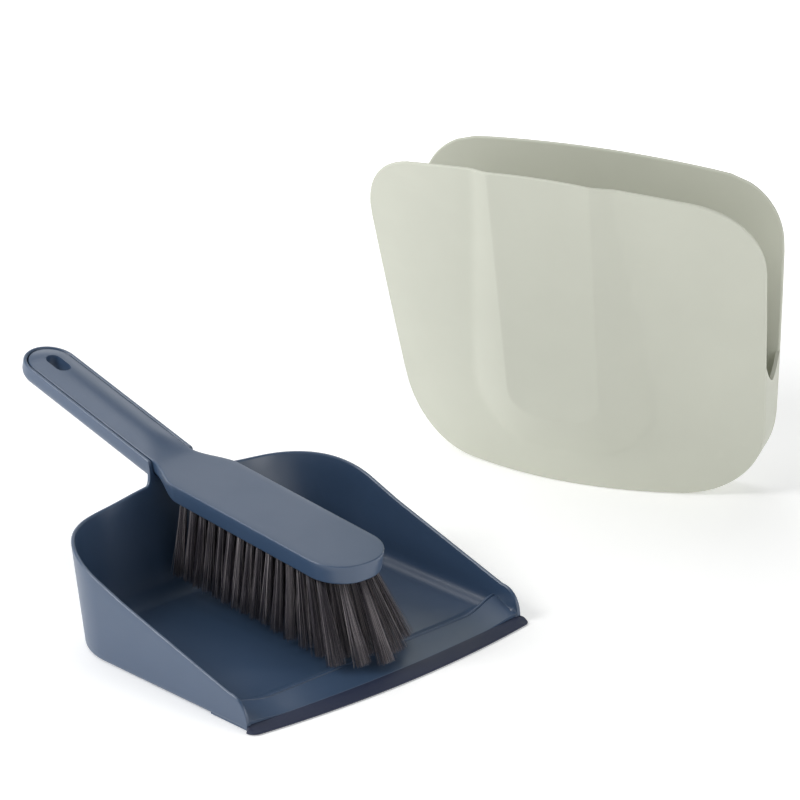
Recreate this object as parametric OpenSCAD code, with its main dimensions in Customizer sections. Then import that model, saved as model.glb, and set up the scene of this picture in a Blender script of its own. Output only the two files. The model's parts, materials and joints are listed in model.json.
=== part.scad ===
// Dustpan, hand brush and wall holder.
// The origin is on the floor, on the symmetry plane, where the dustpan's side walls end at the mouth.
// The mouth faces -Y, the handle points to +Y and +Z is up. All sizes are in millimetres.

/* [Dustpan] */
// Outside width of the dustpan at floor level
pan_w = 219; // [190:1:240]
// Distance from the mouth line to the rear wall at floor level
pan_len = 168; // [160:1:176]
// Height of the level rear rim
rim_h = 63; // [58:1:66]
// Thickness of the dustpan's walls
pan_wall = 2.4; // [2:0.1:3]
// Thickness of the dustpan's floor
pan_floor = 2.6; // [2:0.1:3.2]
// Corner radius of the dustpan at floor level
pan_corner = 42; // [30:1:50]
// Corner radius of the dustpan at the rim
rim_corner = 57; // [44:1:62]
// Backward lean of the rear wall, in degrees
rear_lean = 16.5; // [14:0.5:18]
// Outward lean of the side walls, in degrees
side_lean = 2; // [0:0.5:4]

/* [Mouth] */
// Distance of the ramp's ridge behind the mouth line
ridge_y = 16; // [12:1:22]
// Height of the ramp's ridge
ridge_h = 7; // [5:0.5:9]
// Forward bow of the ramp's front edge at the middle
ramp_bow = 6; // [4:0.5:8]
// Front-to-back width of the visible rubber lip
lip_w = 11; // [8:0.5:14]
// Extra reach of the lip's ends past each side wall
lip_over = 2; // [1:0.5:3]
// Thickness of the lip where it meets the ramp
lip_t = 3.2; // [2.6:0.1:3.6]
// Thickness of the lip's front edge
lip_edge = 1; // [0.6:0.1:1.6]

/* [Trough handle] */
// Rise of the handle above the floor plane, in degrees
handle_rise = 14.3; // [13.5:0.1:15]
// Distance of the handle's root behind the mouth line
handle_y = 188.5; // [186:0.5:192]
// Height of the trough's rim at the root
handle_z = 81.6; // [80.6:0.2:82.6]
// Length of the trough from its root to its end
trough_len = 133.5; // [120:0.5:145]
// Outside width of the trough
trough_w = 35.4; // [34:0.2:38]
// Outside depth of the trough
trough_depth = 12.6; // [12.2:0.1:13.2]
// Radius of the trough's outer bottom edges
trough_r = 7; // [5:0.5:8]
// Gap between the brush handle and the trough
nest_gap = 0.5; // [0.3:0.05:0.8]

/* [Brush] */
// Width of the brush head
head_w = 52; // [48:1:56]
// Distance of the head's front end behind the mouth line
head_y = 14.5; // [12:0.5:20]
// Height of the head's top at its front end
head_z = 66.6; // [64:0.2:70]
// Slope of the head's top, in degrees
head_slope = 4.8; // [4:0.1:5.4]
// Thickness of the head
head_t = 12; // [11:0.5:12.5]
// Corner radius of the head's front end
head_corner = 24; // [18:1:25]
// Place along Y where the head starts to narrow to the neck
neck_start = 158; // [152:1:160]
// Place along Y where the neck has the handle's width
neck_end = 184; // [180:1:185]
// Height of the handle's convex top above the trough's rim
crown = 3; // [1:0.25:3.5]
// Length of the hanging slot
slot_len = 18.5; // [16:0.5:22]
// Width of the hanging slot
slot_w = 10; // [7:0.5:11]

/* [Tufts] */
// Spacing of the tufts along a row
tuft_pitch = 8.5; // [8:0.1:10]
// Spacing of the five rows across the head
row_pitch = 9.4; // [8.5:0.1:9.6]
// Radius of a tuft in its hole
tuft_r = 2; // [1.5:0.05:2.2]
// Radius of a tuft at its trimmed tip
tuft_tip_r = 3.1; // [2.4:0.1:3.4]
// Depth of a tuft hole
hole_depth = 8; // [6:0.5:9]
// Forward lean of the front tufts, in degrees
front_splay = 27; // [10:1:28]
// Outward lean of the outer rows, in degrees
side_splay = 5; // [2:1:7]
// Extra outward lean of the outer rows at the front end, in degrees
front_fan = 5; // [2:1:8]
// Height of the front tufts' tips above the floor plane
tip_front = 7; // [6:0.5:12]
// Height of the rear tufts' tips above the floor plane
tip_rear = 19; // [14:0.5:24]

/* [Wall holder] */
// Half width of the front panel at its top, before its corners are rounded
front_top = 137; // [130:1:142]
// Half width of the front panel at its bottom
front_bottom = 120.5; // [116:0.5:124]
// Half width of the back panel at its top
back_top = 125; // [122:1:130]
// Half width of the back panel at its bottom
back_bottom = 122; // [118:1:125]
// Height of the front panel's upper corners
front_h = 206; // [200:1:212]
// Height of the back panel's upper corners
back_h = 203.5; // [198:0.5:210]
// Distance from the front panel's upper corners to the back panel
mouth_depth = 67; // [62:1:72]
// Depth of the pocket at the foot of its sides
foot_depth = 11.5; // [10:0.5:16]
// Forward bow of the front panel at its top
bow_top = 30; // [24:1:31]
// Forward bow of the front panel at its bottom
bow_bottom = 35.5; // [30:0.5:38]
// Wall thickness of the holder
holder_wall = 2.5; // [2:0.1:3]
// Height of the foot of the side slits
slit_z = 81; // [70:1:100]
// Half width of the front bulge at the top of the panel
bulge_top = 34; // [32:0.5:36]
// Half width of the front bulge at its foot
bulge_foot = 31; // [29:0.5:32]
// Height of the foot of the bulge
bulge_z = 52; // [46:1:60]
// Corner radius at the foot of the bulge
bulge_r = 18; // [12:1:20]
// Forward reach of the bulge's face at the foot of the bulge
bulge_reach = 3; // [1:0.5:4]
// Forward lean of the bulge's face, in degrees
bulge_lean = 10.95; // [10.5:0.05:11.5]
// Radius of the screw holes in the back panel
screw_r = 2.3; // [1.8:0.1:3]
// Distance between the two screw holes
screw_gap = 120; // [80:5:160]
// Height of the screw holes
screw_z = 165; // [140:5:175]

/* [Place of the holder] */
// Distance of the holder to the right of the dustpan
holder_x = 262; // [250:1:400]
// Distance of the holder behind the mouth line
holder_y = 120; // [60:1:200]
// Turn of the holder about the vertical, in degrees
holder_yaw = -68.6; // [-90:0.1:-45]

/* [Hidden] */
$fn = 64;

half_w = pan_w / 2;
rear_shift = rim_h * tan(rear_lean);
side_shift = rim_h * tan(side_lean);
tub_top = 92;
tub_front = 20;
wall_front = -1;
thin = 0.01;
far = 400;

slope_start = [14, 19.5];
slope_end = [102, 44];
level_y = 182;
nose_r = 16;
nose_foot = 4;
rim_pull = [30, 8.5];
level_pull = 34;
nose_back = 3;
web_fillet = 5;
web_rise = 4.5;
web_run = 62;
fillet_dip = 0.4;
web_inset = 0.3;
web_half = trough_w / 2 - web_inset;
web_depth = 30;
trough_root = -26;

lip_half = half_w + lip_over;
lip_front = -ramp_bow - lip_w;
lip_circle = 700;
lip_end_r = 5;
lip_end_y = -2.5;
lip_back = 5;
ramp_circle = half_w * half_w / (2 * ramp_bow) + ramp_bow / 2;
ramp_front_h = lip_t + 0.1;
ramp_back = ridge_y + 11;
ramp_inset = 0.6;

trough_in = trough_w - 2 * pan_wall;
handle_t = trough_depth - pan_wall - nest_gap;
handle_w = trough_in - 2 * nest_gap;
handle_r = trough_r - pan_wall - nest_gap;
handle_end = trough_len - pan_wall - nest_gap;
handle_root = -16;
slot_y = handle_end - 20.7;
crown_r = handle_w * handle_w / (8 * crown) + crown / 2;
crown_run = 35;
arc_steps = 6;

rows = 5;
tuft_last = 157;
tuft_inset = 8;
leaning_tufts = 4.5;
socket_gap = 0.05;
tuft_collar = 1.6;
row_front_inset = 7;
row_middle = 2;
anchor = [0.5, 3.6, 1.8];
anchor_gap = 0.3;

panel_low_r = 47;
panel_high_r = 40;
front_low_bow = 1.5;
front_high_bow = 17.5;
back_low_bow = 7;
back_high_bow = 8;
side_bow = 1;
above_panel = 20;
in_front = 80;
bulge_start = 20;

slate = [0.41, 0.46, 0.53];
navy = [0.2, 0.24, 0.34];
charcoal = [0.17, 0.16, 0.17];
steel = [0.75, 0.75, 0.74];
sage = [0.8, 0.81, 0.77];

// ---- curves ----

// Point at t (0 to 1) on the cubic Bezier curve with control points p.
function bezier(p, t) =
    pow(1 - t, 3) * p[0] + 3 * pow(1 - t, 2) * t * p[1] + 3 * (1 - t) * t * t * p[2] + pow(t, 3) * p[3];

// Smooth step from 0 to 1.
function ease(t) = let (c = min(1, max(0, t))) c * c * (3 - 2 * c);

// Point at t on the straight edge from p to q, bowed outwards by bow in the middle.
function bowed(p, q, bow, t) =
    p + (q - p) * t + 4 * bow * t * (1 - t) * [q[1] - p[1], p[0] - q[0]] / norm(q - p);

// Outline of a panel with four bowed edges and long rounded corners, from its lower left corner.
function panel_outline(bottom, top, height, low_bow, high_bow) =
    let (
        c = [[-bottom, low_bow], [bottom, low_bow], [top, height], [-top, height]],
        bows = [low_bow, side_bow, high_bow, side_bow],
        cut = [panel_low_r, panel_low_r, panel_high_r, panel_high_r]
    )
    [for (i = [0:3])
        let (
            p = c[i],
            q = c[(i + 1) % 4],
            after = c[(i + 2) % 4],
            l = norm(q - p),
            l_next = norm(after - q),
            r = cut[(i + 1) % 4],
            a = bowed(p, q, bows[i], 1 - r / l),
            b = bowed(q, after, bows[(i + 1) % 4], r / l_next)
        )
        each concat(
            [for (t = [cut[i] / l:0.1:1 - r / l]) bowed(p, q, bows[i], t)],
            [for (t = [0:0.125:0.95]) bezier([a, a + 0.6 * (q - a), b + 0.6 * (q - b), b], t)]
        )
    ];

// ---- dustpan ----

// Plan of the tub, inset from the outside by d, at the share k of the rim's height.
module tub_plan(d, k) {
    w = half_w + k * side_shift - d;
    rear = pan_len + k * rear_shift - d;
    r = pan_corner + k * (rim_corner - pan_corner) - d;
    for (side = [-1, 1]) {
        translate([side * (w - r), rear - r]) circle(r);
    }
    translate([-w, -tub_front]) square([2 * w, rear - r + tub_front]);
    translate([-w + r, -tub_front]) square([2 * (w - r), rear + tub_front]);
}

// Solid tub with leaning walls, from z0 up to tub_top.
module tub(d, z0) {
    hull() {
        translate([0, 0, z0]) linear_extrude(thin) tub_plan(d, z0 / rim_h);
        translate([0, 0, tub_top]) linear_extrude(thin) tub_plan(d, tub_top / rim_h);
    }
}

// Side view of the rim: rounded nose, straight slope, level rear.
function rim_profile() = concat(
    [[-nose_back, 0], [-nose_back, nose_foot]],
    [for (a = [10:20:90])
        [slope_start[0] - nose_r * cos(a), nose_foot + (slope_start[1] - nose_foot) * sin(a)]],
    [for (t = [0:0.1:1])
        bezier([slope_end, slope_end + rim_pull, [level_y - level_pull, rim_h], [level_y, rim_h]], t)],
    [[far, rim_h], [far, 0]]
);

// Turns a side view (y, z) into a prism that runs along X.
module across(width) {
    translate([-width / 2, 0, 0]) rotate([90, 0, 90]) linear_extrude(width) children();
}

// The handles' frame: Y along the handle and Z up from the plane of the trough's rim.
module handle_frame() {
    translate([0, handle_y, handle_z]) rotate([handle_rise, 0, 0]) children();
}

// Arc of radius r about c, from angle a0 to a1 in flat steps.
function arc(c, r, a0, a1) =
    [for (i = [0:arc_steps]) let (a = a0 + (a1 - a0) * i / arc_steps) c + r * [cos(a), sin(a)]];

// Cross-section of a handle of width w and depth t, with bottom edges rounded by r, up to z = top.
module bar_section(w, t, r, top) {
    polygon(concat([[w / 2, top]], arc([w / 2 - r, r - t], r, 0, -90),
        arc([r - w / 2, r - t], r, -90, -180), [[-w / 2, top]]));
}

// Cross-section of the brush handle's convex top.
module crown_section() {
    half_angle = asin(handle_w / 2 / crown_r);
    polygon(concat([[-handle_w / 2, -1], [handle_w / 2, -1]],
        arc([0, crown - crown_r], crown_r, 90 - half_angle, 90 + half_angle)));
}

// Bar of width w with its child as cross-section, from y0 to a half-round end at y1.
module bar(w, y0, y1) {
    translate([0, y1 - w / 2, 0]) {
        rotate([90, 0, 0]) linear_extrude(y1 - w / 2 - y0) children();
        rotate_extrude(angle = 180) intersection() {
            children();
            translate([0, -far]) square([far, 2 * far]);
        }
    }
}

module slot_plan() {
    for (side = [-1, 1]) {
        translate([0, slot_y + side * (slot_len - slot_w) / 2]) circle(slot_w / 2);
    }
    translate([-slot_w / 2, slot_y - (slot_len - slot_w) / 2]) square([slot_w, slot_len - slot_w]);
}

// Right edge of the web, seen from the front: up from the rim towards the trough, then a hollow curve.
function web_edge() = concat(
    [[web_run, 0], [web_run, rim_h - fillet_dip]],
    [for (a = [90:-15:0]) web_corner(a)],
    [[web_half, tub_top]]
);

// Point of the hollow curve between the rising rim (a = 90) and the web's upright side (a = 0).
function web_corner(a) =
    [web_half + web_fillet * (1 - cos(a)), rim_h + web_rise + web_fillet * (1 - sin(a))];

// Front view of the raised web that carries the trough.
module web_view() {
    right = web_edge();
    left = [for (i = [len(right) - 1:-1:0]) [-right[i][0], right[i][1]]];
    polygon(concat(right, left));
}

// Space above the trough's rim plane.
module above_trough() {
    handle_frame() translate([-far / 2, -far / 2, 0]) cube([far, far, far]);
}

// Wedge along the mouth: up from the lip to a ridge, then down to the floor.
module ramp() {
    intersection() {
        across(pan_w - 2 * ramp_inset) polygon([[-lip_w, 0], [-lip_w, ramp_front_h], [-ramp_bow, ramp_front_h],
            [ridge_y, ridge_h], [ramp_back, pan_floor], [ramp_back, 0]]);
        translate([0, ramp_circle - ramp_bow, 0]) cylinder(h = ridge_h + 1, r = ramp_circle, $fn = 200);
    }
}

module dustpan_body() {
    color(slate) difference() {
        union() {
            difference() {
                intersection() {
                    tub(0, 0);
                    union() {
                        across(far) polygon(rim_profile());
                        difference() {
                            translate([0, far, 0]) rotate([90, 0, 0])
                                linear_extrude(far - handle_y + web_depth) web_view();
                            above_trough();
                        }
                    }
                }
                tub(pan_wall, pan_floor);
                translate([-far / 2, wall_front - far, -1]) cube([far, far, far]);
            }
            ramp();
            difference() {
                handle_frame() bar(trough_w, trough_root, trough_len)
                    bar_section(trough_w, trough_depth, trough_r, 0);
                tub(pan_wall / 2, pan_floor);
            }
        }
        handle_frame() bar(trough_in, -far / 8, trough_len - pan_wall)
            bar_section(trough_in, trough_depth - pan_wall, trough_r - pan_wall, far);
        handle_frame() translate([0, 0, -far / 2]) linear_extrude(far) slot_plan();
    }
}

module rubber_lip() {
    color(navy) intersection() {
        difference() {
            translate([0, lip_front + lip_circle, 0]) cylinder(h = lip_t, r = lip_circle, $fn = 200);
            translate([0, ramp_circle - ramp_bow, -1])
                cylinder(h = lip_t + 2, r = ramp_circle, $fn = 200);
            translate([-far, wall_front, -1]) cube([2 * far, far, lip_t + 2]);
        }
        union() {
            translate([-lip_half + lip_end_r, -far / 4, 0])
                cube([2 * (lip_half - lip_end_r), far / 2, lip_t]);
            for (side = [-1, 1]) {
                translate([side * (lip_half - lip_end_r), lip_end_y, 0]) cylinder(h = lip_t, r = lip_end_r);
            }
        }
        across(far) polygon([[lip_front - 1, 0], [lip_front - 1, lip_edge], [-ramp_bow + 1, lip_t],
            [lip_back, lip_t], [lip_back, 0]]);
    }
}

// ---- brush ----

function head_top(y) = head_z + (y - head_y) * tan(head_slope);
function head_under(y) = head_top(y) - head_t / cos(head_slope);

// Half width of the head and neck at y, behind the rounded front end.
function neck_half(y) =
    head_w / 2 - (head_w - handle_w) / 2 * ease((y - neck_start) / (neck_end - neck_start));

// Plan of the head and neck: a rounded front end, straight sides and an S-shaped shoulder.
module head_plan() {
    inner = head_w / 2 - head_corner;
    front = [for (a = [0:10:90]) [inner + head_corner * sin(a), head_y + head_corner * (1 - cos(a))]];
    side = [for (i = [0:8])
        let (y = neck_start + (neck_end - neck_start) * i / 8)
        [neck_half(y), y]];
    right = concat(front, side);
    left = [for (i = [len(right) - 1:-1:0]) [-right[i][0], right[i][1]]];
    polygon(concat(right, left));
}

// Y of the first tuft in a row, set back from the rounded front end.
function row_start(x) =
    let (r = head_corner - row_front_inset, d = min(r, max(0, abs(x) - row_middle)))
    head_y + tuft_inset + r - sqrt(r * r - d * d);

function row_x(row) = (row - 3) * row_pitch;
function row_offset(row) = row % 2 == 0 ? tuft_pitch / 2 : 0;
function row_count(row) =
    floor((tuft_last - row_start(row_x(row)) - row_offset(row)) / tuft_pitch) + 1;
function tuft_y(row, k) = row_start(row_x(row)) + row_offset(row) + k * tuft_pitch;

// Nearness of a row's tuft k to the front end, from 1 at the first tuft to 0 where they stand straight.
function frontness(k) = max(0, 1 - k / leaning_tufts);

// Lean of a tuft: forwards at the front end, outwards in the outer rows.
function forward_lean(k) = front_splay * frontness(k);
function outward_lean(row, k) = (side_splay + front_fan * frontness(k)) * (row - 3) / 2;
function tip_height(y) = tip_front + (tip_rear - tip_front) * (y - head_y) / (tuft_last - head_y);
function tuft_length(y, k) = (head_under(y) - tip_height(y)) / cos(forward_lean(k));

// Puts children at each tuft of a row, with +Z running down the tuft from the head's underside.
module at_tufts(row) {
    for (k = [0:row_count(row) - 1]) {
        y = tuft_y(row, k);
        translate([row_x(row), y, head_under(y)])
            rotate([180 - forward_lean(k), 0, 0])
            rotate([0, outward_lean(row, k), 0]) {
                $tuft_length = tuft_length(y, k);
                children();
            }
    }
}

// Convex top of the handle, which rises from the flat neck over the length crown_run.
module handle_crown() {
    intersection() {
        bar(handle_w, 0, handle_end) crown_section();
        across(far) polygon([[0, -1], [0, 0.01], [crown_run, crown], [far, far], [far, -1]]);
    }
}

module brush_body() {
    color(slate) difference() {
        union() {
            translate([0, 0, head_z - head_y * tan(head_slope)]) rotate([head_slope, 0, 0])
                translate([0, 0, -head_t]) linear_extrude(head_t) head_plan();
            handle_frame() bar(handle_w, handle_root, handle_end)
                bar_section(handle_w, handle_t, handle_r, 0);
            handle_frame() handle_crown();
        }
        for (row = [1:rows]) {
            at_tufts(row) translate([0, 0, -hole_depth])
                cylinder(h = hole_depth + 2, r = tuft_r + socket_gap, $fn = 24);
        }
        handle_frame() translate([0, 0, -far / 2]) linear_extrude(far) slot_plan();
    }
}

// Each tuft is straight in its hole and widens from the collar below the head to its trimmed tip.
module tuft_row(row) {
    root = hole_depth - anchor[2] - anchor_gap;
    color(charcoal) at_tufts(row) rotate_extrude($fn = 24) polygon([
        [0, -root],
        [tuft_r, -root],
        [tuft_r, tuft_collar],
        [tuft_tip_r, $tuft_length],
        [0, $tuft_length]
    ]);
}

// One small flat staple at the bottom of each tuft hole.
module tuft_anchors() {
    color(steel) for (row = [1:rows]) {
        at_tufts(row) translate([-anchor[0] / 2, -anchor[1] / 2, -hole_depth + 0.1]) cube(anchor);
    }
}

// ---- wall holder ----
// The holder's own frame: X to the right along the wall, Y into the wall, Z up, with the origin below
// the middle of the line between the front panel's upper corners.

module holder_frame() {
    translate([holder_x, holder_y, 0]) rotate([0, 0, holder_yaw]) children();
}

// Stands a front view (x, z) up as a prism from y0 to y1.
module standing(y0, y1) {
    translate([0, y1, 0]) rotate([90, 0, 0]) linear_extrude(y1 - y0) children();
}

module front_view() {
    polygon(panel_outline(front_bottom, front_top, front_h, front_low_bow, front_high_bow));
}

module back_view() {
    polygon(panel_outline(back_bottom, back_top, back_h, back_low_bow, back_high_bow));
}

// Slice between the back panel and the bowed front surface, set back by d, at share k of the height.
function pocket_slice(d, k) =
    let (
        edge = (mouth_depth - foot_depth) * (1 - k),
        bow = bow_bottom + (bow_top - bow_bottom) * k,
        a = front_bottom + (front_top - front_bottom) * k
    )
    concat([for (s = [-1.04:0.08:1.05]) [a * s, edge - bow * (1 - s * s) + d]],
        [[1.04 * a, mouth_depth], [-1.04 * a, mouth_depth]]);

module pocket(d) {
    top = front_h + above_panel;
    hull() {
        linear_extrude(thin) polygon(pocket_slice(d, 0));
        translate([0, 0, top]) linear_extrude(thin) polygon(pocket_slice(d, top / front_h));
    }
}

// Half width of the bulge at height z, inset by d.
function bulge_half(d, z) =
    bulge_foot - d + (bulge_top - bulge_foot) * (z - bulge_z) / (front_h - bulge_z);

// Front view of the bulge that clears the brush head, inset by d.
module bulge_view(d) {
    r = bulge_r - d;
    low = bulge_z + d;
    high = front_h + above_panel;
    for (side = [-1, 1]) {
        translate([side * (bulge_half(d, low + r) - r), low + r]) circle(r);
    }
    translate([r - bulge_half(d, low + r), low]) square([2 * (bulge_half(d, low + r) - r), 2 * r]);
    polygon([[-bulge_half(d, low + r), low + r], [bulge_half(d, low + r), low + r],
        [bulge_half(d, high), high], [-bulge_half(d, high), high]]);
}

// Place of the bulge's leaning face at height z, set back by d.
function bulge_face(d, z) = d - bulge_reach - (z - bulge_z) * tan(bulge_lean);

// Side view of the space behind the bulge's face.
module bulge_side(d) {
    high = front_h + above_panel;
    polygon([[bulge_face(d, bulge_start), bulge_start], [bulge_face(d, high), high],
        [mouth_depth, high], [mouth_depth, bulge_start]]);
}

module bulge(d) {
    intersection() {
        standing(-in_front, mouth_depth) bulge_view(d);
        across(far) bulge_side(d);
    }
}

module holder_shell() {
    color(sage) holder_frame() difference() {
        union() {
            intersection() {
                union() {
                    pocket(0);
                    bulge(0);
                }
                standing(-in_front, mouth_depth) front_view();
            }
            standing(mouth_depth - thin, mouth_depth + holder_wall) back_view();
        }
        intersection() {
            union() {
                pocket(holder_wall);
                bulge(holder_wall);
            }
            union() {
                standing(-in_front, mouth_depth) offset(delta = -holder_wall) front_view();
                translate([-far / 2, -in_front, slit_z]) cube([far, in_front + mouth_depth, far]);
            }
        }
        for (side = [-1, 1]) {
            translate([side * screw_gap / 2, mouth_depth - 1, screw_z]) rotate([-90, 0, 0])
                cylinder(h = holder_wall + 2, r = screw_r);
        }
    }
}

dustpan_body();
rubber_lip();
brush_body();
tuft_row(1);  // tuft_row_1
tuft_row(2);  // tuft_row_2
tuft_row(3);  // tuft_row_3
tuft_row(4);  // tuft_row_4
tuft_row(5);  // tuft_row_5
tuft_anchors();
holder_shell();
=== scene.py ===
import json
import math

import bpy
import numpy as np
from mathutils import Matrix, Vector

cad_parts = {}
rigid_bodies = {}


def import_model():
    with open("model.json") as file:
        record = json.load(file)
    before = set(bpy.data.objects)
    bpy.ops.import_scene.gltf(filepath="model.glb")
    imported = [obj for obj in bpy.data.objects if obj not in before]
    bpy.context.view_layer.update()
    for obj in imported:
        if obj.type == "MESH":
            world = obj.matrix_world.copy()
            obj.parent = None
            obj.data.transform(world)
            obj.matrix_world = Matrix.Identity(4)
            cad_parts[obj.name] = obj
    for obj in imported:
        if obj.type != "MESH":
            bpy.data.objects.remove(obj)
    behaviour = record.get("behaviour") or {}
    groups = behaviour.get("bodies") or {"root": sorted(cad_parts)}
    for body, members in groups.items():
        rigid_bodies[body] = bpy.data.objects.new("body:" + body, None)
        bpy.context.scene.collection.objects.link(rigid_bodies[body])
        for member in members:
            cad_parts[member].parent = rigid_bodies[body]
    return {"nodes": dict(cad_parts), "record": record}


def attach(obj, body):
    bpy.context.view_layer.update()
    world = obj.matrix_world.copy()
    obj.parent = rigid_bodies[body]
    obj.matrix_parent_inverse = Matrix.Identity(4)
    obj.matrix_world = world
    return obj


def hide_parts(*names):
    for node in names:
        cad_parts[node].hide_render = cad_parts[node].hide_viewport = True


# Dustpan, hand brush and wall holder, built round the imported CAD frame. Sizes are in millimetres in the
# builders and in metres in Blender. X is across the pan, +Y runs from the mouth to the handle, +Z is up.

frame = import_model()
for spare in [o for o in bpy.context.scene.objects if o.name in ("Cube", "Light", "Camera")]:
    bpy.data.objects.remove(spare)
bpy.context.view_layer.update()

MM = 0.001
rng = np.random.default_rng(7)

# ---- sizes in millimetres and degrees, the same driving dimensions as the CAD ----
PAN_W = 219.0
PAN_LEN = 168.0
RIM_H = 63.0
WALL = 2.4
FLOOR = 2.6
CORNER = 42.0
RIM_CORNER = 57.0
REAR_LEAN = 16.5
SIDE_LEAN = 2.0
LEVEL_Y = 182.0
NOSE_R = 15.0
FOOT_R = 3.2
BASIN_R = 9.0
NOSE_FOOT = 3.0
SLOPE_START = (14.0, 19.5)
SLOPE_END = (102.0, 44.0)
SLOPE_PULL = (30.0, 8.5)
LEVEL_PULL = 34.0
WEB_FILLET = 5.0
WEB_RISE = 4.5
WEB_RUN = 68.0

MOUTH_BOW = 6.0
LIP_W = 11.0
LIP_THICK = 3.15
LIP_END_R = 5.0
LIP_BOW_R = 700.0
RIDGE_Y = 15.6
RIDGE_Z = 7.0
RAMP_FRONT_Z = 3.3
RAMP_BACK = 28.0

HANDLE_RISE = 14.3
HANDLE_Y = 188.5
HANDLE_Z = 81.6
TROUGH_LEN = 133.5
TROUGH_W = 35.4
TROUGH_DEPTH = 12.6
TROUGH_R = 7.0
NEST_GAP = 0.5
CROWN = 3.0

HEAD_W = 52.0
HEAD_Y = 14.5
HEAD_Z = 66.6
HEAD_SLOPE = 4.8
HEAD_T = 12.0
HEAD_CORNER = 24.0
NECK_START = 156.0
NECK_END = 190.0
SLOT_LEN = 18.5
SLOT_W = 10.0
SLOT_FROM_TIP = 20.7
TUFT_FLOOR_GAP = 3.2

HOLDER_H = 206.0
BACK_H = 203.5
FRONT_BOTTOM = 120.5
FRONT_TOP = 137.0
BACK_BOTTOM = 122.0
BACK_TOP = 125.0
FRONT_BOWS = (1.5, 17.5)
BACK_BOWS = (7.0, 8.0)
SIDE_BOW = 1.0
PANEL_CORNERS = (47.0, 40.0)
MOUTH_DEPTH = 67.0
FOOT_DEPTH = 11.5
BOW_TOP = 30.0
BOW_BOTTOM = 35.5
HOLDER_WALL = 2.5
SLIT_Z = 81.0
BULGE_TOP = 34.0
BULGE_FOOT = 31.0
BULGE_Z = 52.0
BULGE_R = 18.0
BULGE_REACH = 3.0
BULGE_LEAN = 10.95
FLANK = 30.0
FLANK_NARROWING = 17.0
FLANK_CLIMB = 170.0


# ---- small helpers ----
def ease(t):
    """Smooth step from 0 to 1."""
    t = np.clip(t, 0.0, 1.0)
    return t * t * (3 - 2 * t)


def unit(degrees):
    """Cosine and sine of an angle in degrees."""
    return math.cos(math.radians(degrees)), math.sin(math.radians(degrees))


def mesh_object(name, verts, faces):
    """Smooth-shaded mesh object from millimetre points."""
    mesh = bpy.data.meshes.new(name)
    mesh.from_pydata([tuple(v) for v in np.asarray(verts, float) * MM], [], [tuple(f) for f in faces])
    mesh.validate()
    mesh.update()
    obj = bpy.data.objects.new(name, mesh)
    bpy.context.scene.collection.objects.link(obj)
    mesh.polygons.foreach_set("use_smooth", [True] * len(mesh.polygons))
    return obj


def grid_faces(rows, cols, wrap=False, start=0, flip=False):
    """Quads of a grid of rows x cols points that starts at index start."""
    faces = []
    for i in range(rows - 1):
        for j in range(cols if wrap else cols - 1):
            a = start + i * cols + j
            b = start + i * cols + (j + 1) % cols
            quad = (a, b, b + cols, a + cols)
            faces.append(quad[::-1] if flip else quad)
    return faces


def close_up(obj, angle=35.0):
    """Merges doubled points, makes the faces point outwards and keeps creases over the angle sharp."""
    bpy.context.view_layer.objects.active = obj
    bpy.ops.object.select_all(action="DESELECT")
    obj.select_set(True)
    bpy.ops.object.mode_set(mode="EDIT")
    bpy.ops.mesh.select_all(action="SELECT")
    bpy.ops.mesh.remove_doubles(threshold=0.000005)
    bpy.ops.mesh.dissolve_degenerate(threshold=0.000002)
    bpy.ops.mesh.select_all(action="SELECT")
    bpy.ops.mesh.normals_make_consistent(inside=False)
    bpy.ops.object.mode_set(mode="OBJECT")
    bpy.ops.object.shade_smooth_by_angle(angle=math.radians(angle))


def cut(obj, cutter):
    """Cuts the closed mesh cutter out of obj and removes the cutter."""
    modifier = obj.modifiers.new("cut", "BOOLEAN")
    modifier.operation = "DIFFERENCE"
    modifier.solver = "EXACT"
    modifier.object = cutter
    bpy.context.view_layer.objects.active = obj
    bpy.ops.object.modifier_apply(modifier=modifier.name)
    bpy.data.objects.remove(cutter)


def joined(name, parts):
    """One object from several, under one name."""
    bpy.ops.object.select_all(action="DESELECT")
    for part in parts:
        part.select_set(True)
    bpy.context.view_layer.objects.active = parts[0]
    bpy.ops.object.join()
    parts[0].name = name
    parts[0].data.name = name
    return parts[0]


def finish_piece(obj, body, material, nodes):
    """Gives a piece its material and its body, and hides the CAD nodes that it replaces."""
    obj.data.materials.clear()
    obj.data.materials.append(material)
    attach(obj, body)
    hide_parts(*nodes)


# ---- handle frame ----
RISE = math.radians(HANDLE_RISE)
ALONG = np.array([0.0, math.cos(RISE), math.sin(RISE)])
UP = np.array([0.0, -math.sin(RISE), math.cos(RISE)])
ROOT = np.array([0.0, HANDLE_Y, HANDLE_Z])


def handle_point(x, along, height):
    """Point in the handles' frame: along the handle and up from the plane of the trough's rim."""
    return ROOT + np.array([x, 0.0, 0.0]) + ALONG * along + UP * height


# ---- dustpan shell ----
WEB_HALF = TROUGH_W / 2


def tub_numbers(z):
    """Half width, rear Y and rear corner radius of the tub's outside at height z."""
    k = z / RIM_H
    half = PAN_W / 2 + z * math.tan(math.radians(SIDE_LEAN))
    rear = PAN_LEN + z * math.tan(math.radians(REAR_LEAN))
    corner = CORNER + k * (RIM_CORNER - CORNER)
    return half, rear, corner


def tub_point(station, inset, z):
    """Point of the tub's wall at a station, inset from its outside face, at height z."""
    kind, value, side = station
    half, rear, corner = tub_numbers(z)
    if kind == "side":
        return np.array([side * (half - inset), value, z])
    if kind == "corner":
        c, s = math.cos(value), math.sin(value)
        r = corner - inset
        return np.array([side * (half - corner + r * c), rear - corner + r * s, z])
    return np.array([side * value, rear - inset, z])


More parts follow.
